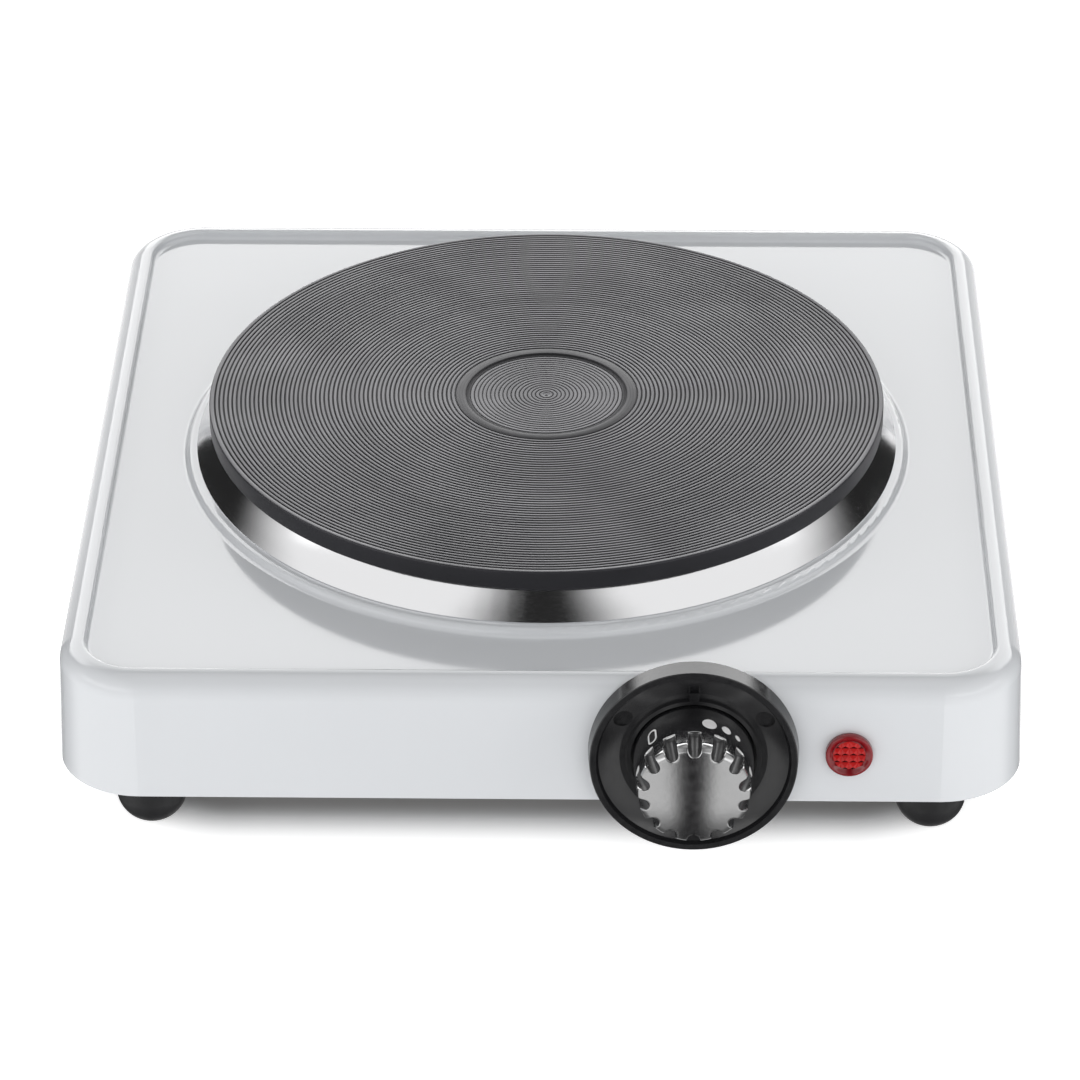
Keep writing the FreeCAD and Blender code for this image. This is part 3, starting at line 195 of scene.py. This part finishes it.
def plated_steel(name, colour, roughness):
    f = Finish(name, colour, roughness, Metallic=1.0)
    f.mottle(colour, tone(colour, 0.8), scale=90, detail=5)
    f.uneven(500, roughness - 0.08, roughness + 0.12)
    f.bump(f.noise(scale=1400), distance=0.00001, strength=0.5)
    return f.material


def galvanised():
    f = Finish("galvanised_sheet", (0.55, 0.56, 0.57), 0.4, Metallic=1.0)
    cells_per_metre = 140
    cells = f.node("TexVoronoi", f.place(), None, cells_per_metre)
    share = f.span(cells.outputs["Color"], 0.1, 0.9, 0, 1)
    f.feed("Base Color", f.blend(share, (0.46, 0.47, 0.49), (0.62, 0.63, 0.64)))
    f.feed("Roughness", f.span(cells.outputs["Color"], 0, 1, 0.3, 0.48))
    f.bump(f.noise(scale=900, detail=2.0), distance=0.00001, strength=0.4)
    return f.material


def plain(name, colour, roughness, grain=900, **fixed):
    f = Finish(name, colour, roughness, **fixed)
    f.mottle(colour, tone(colour, 0.82), scale=150)
    f.uneven(600, max(0.05, roughness - 0.08), roughness + 0.08)
    f.bump(f.noise(grain, detail=2.0), distance=0.00001, strength=0.4)
    return f.material


def sleeving(name, colour):
    f = Finish(name, colour, 0.8, Sheen_Weight=0.3)
    weave_scale, distortion, detail = 500, 2.0, 2.0
    weave = f.node("TexWave", f.place(), weave_scale, distortion, detail, bands_direction="DIAGONAL")
    share = f.span(weave.outputs["Fac"], 0.2, 0.8, 0, 1)
    f.feed("Base Color", f.blend(share, tone(colour, 0.6), colour))
    f.bump(weave.outputs["Fac"], distance=0.0001, strength=0.6)
    return f.material


finishes = {
    "enamel": enamel(),
    "base_steel": galvanised(),
    "rubber": rubber("black_rubber"),
    "zinc_steel": plated_steel("zinc_plate", (0.72, 0.73, 0.75), 0.32),
    "iron": cast_iron("cast_iron", (0.012, 0.012, 0.014), roughness=0.38, specular=0.38),
    "bright_steel": bright_steel(),
    "coil_wire": plated_steel("oxidised_wire", (0.25, 0.22, 0.2), 0.55),
    "cement": plain("magnesia_cement", (0.68, 0.65, 0.58), 0.85, grain=2000),
    "steatite": plain("steatite", (0.82, 0.79, 0.71), 0.3),
    "brass": plated_steel("brass", (0.75, 0.58, 0.28), 0.28),
    "spindle_steel": plated_steel("turned_steel", (0.55, 0.55, 0.56), 0.25),
    "blade_bronze": plated_steel("phosphor_bronze", (0.7, 0.43, 0.24), 0.25),
    "bimetal": plated_steel("bimetal", (0.48, 0.47, 0.46), 0.3),
    "silver": plated_steel("silver", (0.88, 0.87, 0.84), 0.2),
    "bezel_plastic": black_plastic(
        "satin_black", (0.01, 0.01, 0.011), low=0.18, high=0.26, grain=2600, Specular_IOR_Level=0.5),
    "knob_plastic": black_plastic(
        "gloss_black", (0.012, 0.012, 0.013), low=0.12, high=0.18, grain=900, IOR=2.4, Specular_IOR_Level=1.0),
    "mark_paint": plain("white_print", (0.85, 0.85, 0.85), 0.4),
    "lens_red": plain("red_lens", (0.6, 0.012, 0.015), 0.1, Transmission_Weight=0.3),
    "bulb_glass": plain("neon_glass", (0.9, 0.75, 0.65), 0.05, Transmission_Weight=0.8),
    "resistor_paint": plain("resistor_coat", (0.6, 0.45, 0.28), 0.45),
    "bush_rubber": rubber("bush_rubber"),
    "sleeve_live": sleeving("brown_sleeve", (0.3, 0.17, 0.1)),
    "sleeve_neutral": sleeving("blue_sleeve", (0.08, 0.16, 0.42)),
    "sleeve_earth": sleeving("green_yellow_sleeve", (0.4, 0.52, 0.08)),
}
for part in frame["record"]["subparts"]:
    materials = nodes[part["node"]].data.materials
    materials.clear()
    materials.append(finishes[part["material_slot"]])
groove_iron = cast_iron("groove_iron", (0.014, 0.014, 0.015), roughness=0.6, specular=0.15)
band_iron = cast_iron("band_iron", (0.016, 0.016, 0.017), roughness=0.42, specular=0.17)
moulded_black = black_plastic("moulded_black", (0.02, 0.02, 0.021), low=0.28, high=0.36, grain=1400)
lens_body_red = plain("lens_body_red", (0.2, 0.006, 0.01), 0.12)
prism_red = plain("prism_red", (0.48, 0.009, 0.009), 0.2, Specular_IOR_Level=0.25)
# Painted shade: a dark copy of the prism red for the pyramids' downward sides.
prism_painted_shade_red = plain("prism_painted_shade_red", (0.03, 0.001, 0.002), 0.2, Specular_IOR_Level=0.25)


# ---- Places and mesh helpers ----


dial = next(joint for joint in frame["joints"] if joint["name"] == "knob_turn")
wall_out = Vector(dial["axis"]).normalized()
wall_up = Vector((1, 0, 0)).cross(wall_out) * -1
wall_turn = Matrix((Vector((1, 0, 0)), wall_up, wall_out)).transposed().to_4x4()
knob_frame = Matrix.Translation(dial["pos_m"]) @ wall_turn
lens_low, lens_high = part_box("lamp_lens")
lamp_shift = Vector(((lens_low.x + lens_high.x) / 2 - dial["pos_m"][0], 0, 0))
lamp_frame = Matrix.Translation(lamp_shift) @ knob_frame


def add_piece(name, points, faces, finish, stands_for, where, sharp, body="root"):
    """A mesh piece from points in millimetres, set in a frame, smooth below this angle in degrees."""
    mesh = bpy.data.meshes.new(name)
    mesh.from_pydata((np.asarray(points) * MM).tolist(), [], faces)
    mesh.transform(where)
    mesh.update()
    mesh.shade_smooth()
    mesh.set_sharp_from_angle(angle=math.radians(sharp))
    mesh.materials.append(finish)
    piece = bpy.data.objects.new(name, mesh)
    bpy.context.scene.collection.objects.link(piece)
    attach(piece, body)
    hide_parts(stands_for)
    return piece


def turned_faces(rows, steps):
    """Faces of a grid of rows round an axis. A row is (first point, is it one point on the axis)."""
    faces = []
    for (low, low_pole), (high, high_pole) in zip(rows, rows[1:]):
        for k in range(steps):
            n = (k + 1) % steps
            if low_pole:
                faces.append((low, high + n, high + k))
            elif high_pole:
                faces.append((low + k, low + n, high))
            else:
                faces.append((low + k, low + n, high + n, high + k))
    return faces


def turned(section, steps):
    """Points and faces of a section (radius, height) turned round +Z, closed at both poles."""
    points, rows = [], []
    for radius, height in section:
        rows.append((len(points), radius < ON_AXIS))
        if radius < ON_AXIS:
            points.append((0, 0, height))
            continue
        for k in range(steps):
            angle = math.tau * k / steps
            points.append((radius * math.cos(angle), radius * math.sin(angle), height))
    return points, turned_faces(rows, steps)


def arc(centre, radius, start, end, count):
    """Points of an arc in a section, by angles in degrees from +radius towards +height."""
    angles = [math.radians(start + (end - start) * k / count) for k in range(count + 1)]
    return [(centre[0] + radius * math.cos(a), centre[1] + radius * math.sin(a)) for a in angles]


# ---- Hot plate (millimetres) ----


GROOVE_SHAPE = ((1.0, 0.0), (0.8, 0.12), (0.45, 0.75), (0.0, 1.0), (-0.45, 0.75), (-0.8, 0.12), (-1.0, 0.0))


def groove(radius, top, half, depth):
    """A turned groove with a round bottom, from its outer shoulder to its inner one."""
    return [(radius + half * x, top - depth * y) for x, y in GROOVE_SHAPE]


def make_plate():
    """The casting with its turned grooves: 56 round the sunk disc, and finer ones on the disc."""
    steps = 180  # keeps the mesh under the export's 200,000 faces for an STL
    top = plate_high.z / MM
    edge = (plate_high.x - plate_low.x) / 2 / MM
    bottom, skirt = 52.2, 88.7
    rim_bottom = top - 5.4
    disc_top = top - 0.4
    section = [(0, bottom), (skirt - 0.5, bottom), (skirt - 0.5, 51.5), (skirt, 52), (skirt, rim_bottom - 0.4)]
    section += arc((skirt + 0.4, rim_bottom - 0.4), 0.4, 180, 90, 3)
    section += arc((edge - 0.3, rim_bottom + 0.3), 0.3, -90, 0, 4)
    section += arc((edge - 0.5, top - 0.5), 0.5, 0, 90, 6)

    # A row of faces has the number of the section point it starts from.
    groove_rows = set()

    def add_grooves(count, outermost, pitch, height, half, depth):
        for k in range(count):
            groove_rows.update(range(len(section) + 1, len(section) + 5))
            section.extend(groove(outermost - pitch * k, height, half, depth))

    add_grooves(56, 91.0, 1.2, top, half=0.3, depth=0.3)
    band_start = len(section) - 1
    section += [
        (22.6, top), (22.25, top - 0.03), (22.05, top - 0.12), (21.95, disc_top + 0.05),
        (21.7, disc_top),
    ]
    band_rows = range(band_start, len(section) - 4)
    groove_rows.update(range(len(section) - 4, len(section)))
    add_grooves(18, 20.9, 1.12, disc_top, half=0.22, depth=0.14)
    section += [
        (1.1, disc_top), (0.9, disc_top - 0.12), (0.55, disc_top - 0.1), (0.3, disc_top + 0.05),
        (0, disc_top + 0.08),
    ]

    points, faces = turned(section, steps)
    where = Matrix.Translation((plate_middle.x, plate_middle.y, 0))
    piece = add_piece("plate_casting", points, faces, finishes["iron"], "hot_plate", where, sharp=60)
    piece.data.materials.append(groove_iron)
    piece.data.materials.append(band_iron)
    for face in piece.data.polygons:
        row = face.index // steps
        face.material_index = 1 if row in groove_rows else 2 if row in band_rows else 0


# ---- Knob (millimetres, with heights taken from the wall) ----


NOTCHES = 14
NOTCH_RADIUS = 1.75
NOTCH_LEAN = math.radians(17.5)
NOTCH_FOOT = 14.15  # height at which a notch's middle line is NOTCH_REACH from the axis
NOTCH_REACH = 15.6
NOTCH_START = 14.1  # height from which a notch fades in
NOTCH_FADE = 0.45
NOTCH_SOFTNESS = 0.09
WALL_SLOPE = 4  # how steeply the cutting surface rises beside a notch, so that it cuts nothing there
CUT_DEPTH = 0.12  # a point cut deeper than this belongs to a notch's face


def knob_section():
    """The knob's outline (radius, height) from its back, over the shoulder, to its apex."""
    heights = (
        2.6, 3.2, 5, 7, 9, 11, 12.5, 13.4, 13.8, 14.0, 14.15, 14.3, 14.45, 14.6, 14.8, 15.2, 15.8,
        16.4, 17, 17.5, 18, 18.3,
    )
    side = [(15.7 - 1.1 * (height - 2.6) / 16.0, height) for height in heights]
    shoulder = arc((12.13, 18.55), 2.5, 1, 72, 12)
    reach, shoulder_top = shoulder[-1]
    apex = 22.39
    rise = apex - shoulder_top
    bulge = (reach ** 2 + rise ** 2) / (2 * rise)
    dome_rows = 30
    dome = []
    for k in range(1, dome_rows + 1):
        radius = reach * (1 - k / dome_rows)
        dome.append((radius, apex - bulge + math.sqrt(bulge ** 2 - radius ** 2)))
    return side + shoulder + dome


def notch_depth(radius, height, offset):
    """How far a notch cuts in from this radius, at a sideways offset from the notch's middle."""
    along = (height - NOTCH_FOOT) / math.cos(NOTCH_LEAN)
    middle = NOTCH_REACH - along * math.sin(NOTCH_LEAN)
    inside = NOTCH_RADIUS ** 2 - offset ** 2
    if inside > 0:
        wall = middle - math.sqrt(inside) / math.cos(NOTCH_LEAN)
    else:
        wall = middle + WALL_SLOPE * (abs(offset) - NOTCH_RADIUS)
    cut = radius - wall
    smooth = NOTCH_SOFTNESS * math.log1p(math.exp(min(40.0, cut / NOTCH_SOFTNESS)))
    start = min(1.0, max(0.0, (height - NOTCH_START) / NOTCH_FADE))
    return smooth * start * start * (3 - 2 * start)


def make_knob():
    """Fluted knob: 14 notches with softened edges bite into the shoulder of a domed cap."""
    steps_per_notch = 44
    steps = NOTCHES * steps_per_notch
    notch_angle = math.tau / NOTCHES
    inset = 0.015  # keeps the outline inside the CAD knob
    inner = [(0, 16.6), (3.03, 16.6), (3.03, 3.6), (5.5, 3.6), (5.5, 17.8), (12.3, 17.8), (13.9, 2.6)]
    points, rows, cut_points = [], [], set()
    for radius, height in inner:
        rows.append((len(points), radius < ON_AXIS))
        if radius < ON_AXIS:
            points.append((0, 0, height))
            continue
        angles = np.arange(steps) * math.tau / steps
        points += [(radius * math.cos(a), radius * math.sin(a), height) for a in angles]
    for radius, height in knob_section():
        rows.append((len(points), radius < ON_AXIS))
        if radius < ON_AXIS:
            points.append((0, 0, height))
            continue
        for k in range(steps):
            angle = math.tau * k / steps
            from_notch = (k % steps_per_notch) / steps_per_notch * math.tau / NOTCHES
            from_notch = min(from_notch, notch_angle - from_notch)
            here = radius - inset
            if height > 14.0 and radius > 8:
                depth = notch_depth(radius * math.cos(from_notch), height, radius * math.sin(from_notch))
                here -= depth
                if depth > CUT_DEPTH:
                    cut_points.add(len(points))
            points.append((here * math.sin(angle), here * math.cos(angle), height))
    outline_start = rows[len(inner)][0]
    faces = [tuple(reversed(f)) if min(f) >= outline_start else f for f in turned_faces(rows, steps)]
    piece = add_piece(
        "knob_cap", points, faces, finishes["knob_plastic"], "knob", knob_frame, sharp=70, body="knob")
    piece.data.materials.append(moulded_black)
    for face in piece.data.polygons:
        face.material_index = int(all(corner in cut_points for corner in face.vertices))


# ---- Lamp lens (millimetres, with heights taken from the wall) ----


def make_lens():
    """Red lens: a rounded flange, a sloping ring and a field of small pyramids."""
    section = [(0, 0.6), (3.6, 0.6), (3.6, -9), (4.6, -9), (4.6, 0), (6.0, 0), (6.1, 0.15), (6.1, 1.3)]
    section += arc((5.6, 1.5), 0.5, 0, 110, 8)
    section += [(5.25, 1.85), (4.9, 1.55), (4.45, 1.15), (4.3, 1.1), (4.2, 1.2), (0, 1.2)]
    points, faces = turned(section, 96)
    ring = add_piece("lens_body", points, faces, lens_body_red, "lamp_lens", lamp_frame, sharp=50)

    pitch, across, foot, tip = 2.1, 4, 1.25, 1.95
    round_sides, round_radius = 40, 4.15
    half = pitch / 2
    field = bmesh.new()
    for row in range(across):
        for column in range(across):
            x, y = (column - (across - 1) / 2) * pitch, (row - (across - 1) / 2) * pitch
            signs = ((-1, -1), (1, -1), (1, 1), (-1, 1))
            corners = [field.verts.new((x + a * half, y + b * half, foot)) for a, b in signs]
            peak = field.verts.new((x, y, tip))
            for k in range(4):
                face = field.faces.new((corners[k], corners[(k + 1) % 4], peak))
                face.material_index = 1 if k == 0 else 0  # the side that faces down carries painted shade, the dark one
    for k in range(round_sides):
        angle = math.tau * k / round_sides
        side = Vector((math.cos(angle), math.sin(angle), 0))
        every = field.verts[:] + field.edges[:] + field.faces[:]
        bmesh.ops.bisect_plane(
            field, geom=every, plane_co=side * round_radius, plane_no=side, clear_outer=True)
    bmesh.ops.scale(field, vec=(MM, MM, MM), verts=field.verts)
    field.transform(lamp_frame)
    mesh = bpy.data.meshes.new("lens_prisms")
    field.to_mesh(mesh)
    mesh.materials.append(prism_red)
    mesh.materials.append(prism_painted_shade_red)
    prisms = bpy.data.objects.new("lens_prisms", mesh)
    bpy.context.scene.collection.objects.link(prisms)
    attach(prisms, "root")


make_plate()
make_knob()
make_lens()


# ---- Camera, floor and light (metres) ----


def make_camera():
    """The photograph's view: 32 degrees down, a touch from the right, through a long lens."""
    yaw, pitch, roll = (math.radians(a) for a in (-1.13, 31.82, -0.24))
    ahead = Vector((math.sin(yaw) * math.cos(pitch), math.cos(yaw) * math.cos(pitch), -math.sin(pitch)))
    right = Vector((math.cos(yaw), -math.sin(yaw), 0))
    up = right.cross(ahead)
    rolled_right = math.cos(roll) * right + math.sin(roll) * up
    rolled_up = -math.sin(roll) * right + math.cos(roll) * up
    data = bpy.data.cameras.new("camera")
    data.sensor_width = 36
    data.lens = 163.57
    data.clip_start = 0.05
    data.clip_end = 50
    camera = bpy.data.objects.new("camera", data)
    turn = Matrix((rolled_right, rolled_up, -ahead)).transposed().to_4x4()
    camera.matrix_world = Matrix.Translation((0.0211, -1.1572, 0.7450)) @ turn
    bpy.context.scene.collection.objects.link(camera)
    bpy.context.scene.camera = camera


def make_floor():
    """White floor that mirrors don't see. It glows, and a painted contact shadow makes its glow and colour dark
    and dull close under the burner.
    """
    reach = 12
    corners = [(-reach, -reach, 0), (reach, -reach, 0), (reach, reach, 0), (-reach, reach, 0)]
    mesh = bpy.data.meshes.new("floor")
    mesh.from_pydata(corners, [], [(0, 1, 2, 3)])
    floor = bpy.data.objects.new("floor", mesh)
    bpy.context.scene.collection.objects.link(floor)
    white = (0.93, 0.93, 0.93)
    f = Finish("floor_white", white, 0.9, Specular_IOR_Level=0.1)
    f.shader.inputs["Emission Color"].default_value = (1, 1, 1, 1)

    low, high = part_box("housing")
    inside = 0.045  # distances start this far inside the housing's outline
    middle = ((low.x + high.x) / 2, (low.y + high.y) / 2, 0)
    half = ((high.x - low.x) / 2 - inside, (high.y - low.y) / 2 - inside, 0)
    offset = f.vector("ABSOLUTE", f.vector("SUBTRACT", f.place(), middle))
    beyond = f.vector("MAXIMUM", f.vector("SUBTRACT", offset, half), (0, 0, 0))
    distance = f.length_in_plan(beyond)
    # Painted shadow: the glow fades to nothing close under the burner.
    f.feed("Emission Strength", f.span(distance, 0.021, 0.04, 0, 0.75, smooth=True))
    # Painted shadow: the colour turns dark grey close under the burner.
    painted_shadow_fade = f.span(distance, 0.018, 0.027, 0, 1, smooth=True)
    f.feed("Base Color", f.blend(painted_shadow_fade, (0.5, 0.49, 0.48), white))
    mesh.materials.append(f.material)
    floor.visible_glossy = False


def area_light(name, place, aim, size, power):
    """A soft white light that shows in no mirror."""
    data = bpy.data.lights.new(name, "AREA")
    data.shape = "RECTANGLE"
    data.size, data.size_y = size
    data.energy = power
    light = bpy.data.objects.new(name, data)
    light.location = place
    light.rotation_euler = (Vector(aim) - Vector(place)).to_track_quat("-Z", "Y").to_euler()
    light.visible_glossy = False
    light.visible_camera = False
    bpy.context.scene.collection.objects.link(light)


def make_world():
    """White surroundings. What gloss mirrors is a studio: bright top and sides, dark gaps between them."""
    ambient = 0.36  # level that diffuse rays see
    darkest = 0.02
    world = bpy.data.worlds.new("studio")
    world.use_nodes = True
    tree = world.node_tree
    background = tree.nodes["Background"]
    direction = tree.nodes.new("ShaderNodeTexCoord").outputs["Generated"]
    split = tree.nodes.new("ShaderNodeSeparateXYZ")
    tree.links.new(direction, split.inputs[0])
    x, y, z = split.outputs

    def maths(operation, *inputs):
        made = tree.nodes.new("ShaderNodeMath")
        made.operation = operation
        for socket, value in zip(made.inputs, inputs):
            if isinstance(value, bpy.types.NodeSocket):
                tree.links.new(value, socket)
            else:
                socket.default_value = value
        return made.outputs[0]

    def rise(value, low, high):
        """0 below low, 1 above high."""
        made = tree.nodes.new("ShaderNodeMapRange")
        made.interpolation_type = "SMOOTHSTEP"
        tree.links.new(value, made.inputs[0])
        for socket, number in zip(made.inputs[1:], (low, high, 0, 1)):
            socket.default_value = number
        return made.outputs[0]

    def fall(value, low, high):
        """1 below low, 0 above high."""
        return less(rise(value, low, high))

    def times(*values):
        product = values[0]
        for value in values[1:]:
            product = maths("MULTIPLY", product, value)
        return product

    def less(value):
        return maths("SUBTRACT", 1.0, value)

    across = maths("ABSOLUTE", x)
    down = maths("MULTIPLY", z, -1.0)

    # Front and sides: an even wall with a dark gap straight ahead and a brighter strip above the horizon.
    gap = maths("DIVIDE", across, maths("MULTIPLY_ADD", z, 0.725, 1.42))
    below = maths("MULTIPLY_ADD", rise(down, -0.05, 0.1), 0.25, 1.0)
    near_floor = maths("MULTIPLY_ADD", fall(down, 0.56, 0.84), 0.85, 0.15)
    strip = times(fall(y, -0.2, 0.1), rise(z, 0.12, 0.22), fall(z, 0.36, 0.46), 1.5)
    wall = maths("ADD", times(below, near_floor), strip)
    around = times(fall(y, 0.0, 0.45), rise(gap, 0.035, 0.2), wall, fall(z, 0.86, 0.95))

    # Behind: a bright panel that widens upwards, over a dimmer floor.
    back_width = maths("MULTIPLY_ADD", rise(z, 0.22, 0.32), 0.38, 0.34)
    back_inside = fall(maths("SUBTRACT", across, back_width), -0.06, 0.06)
    back_panel = times(rise(z, 0.0, 0.12), fall(z, 0.66, 0.93), 4.5)
    back_floor = times(fall(z, -0.1, 0.05), 0.8)
    back = times(rise(y, 0.22, 0.42), back_inside, maths("MAXIMUM", back_panel, back_floor))
    back_low = times(rise(y, 0.81, 0.85), fall(across, 0.6, 0.7), fall(z, 0.25, 0.4), 1.3)

    overhead = times(rise(z, 0.9, 0.96), 0.8)
    level = maths("MAXIMUM", maths("MAXIMUM", back, back_low), maths("MAXIMUM", around, overhead))
    level = maths("ADD", level, darkest)

    rays = tree.nodes.new("ShaderNodeLightPath").outputs
    seen, mirrored = rays["Is Camera Ray"], rays["Is Glossy Ray"]
    other = less(maths("MAXIMUM", seen, mirrored))
    total = maths("ADD", maths("ADD", seen, times(mirrored, level)), times(other, ambient))
    background.inputs["Color"].default_value = (1, 1, 1, 1)
    tree.links.new(total, background.inputs["Strength"])
    bpy.context.scene.world = world


make_camera()
make_floor()
burner = (0, 0, 0.03)
area_light("top_light", (0, -0.3, 1.6), aim=(0, 0, 0), size=(1.5, 1.2), power=3.5)
area_light("front_light", (0, -1.35, 0.95), aim=burner, size=(2.2, 1.0), power=8.5)
area_light("left_light", (-1.5, -0.5, 0.4), aim=burner, size=(1.0, 0.7), power=5)
area_light("right_light", (1.5, -0.5, 0.4), aim=burner, size=(1.0, 0.7), power=5)
make_world()
bpy.context.scene.view_settings.view_transform = "Standard"
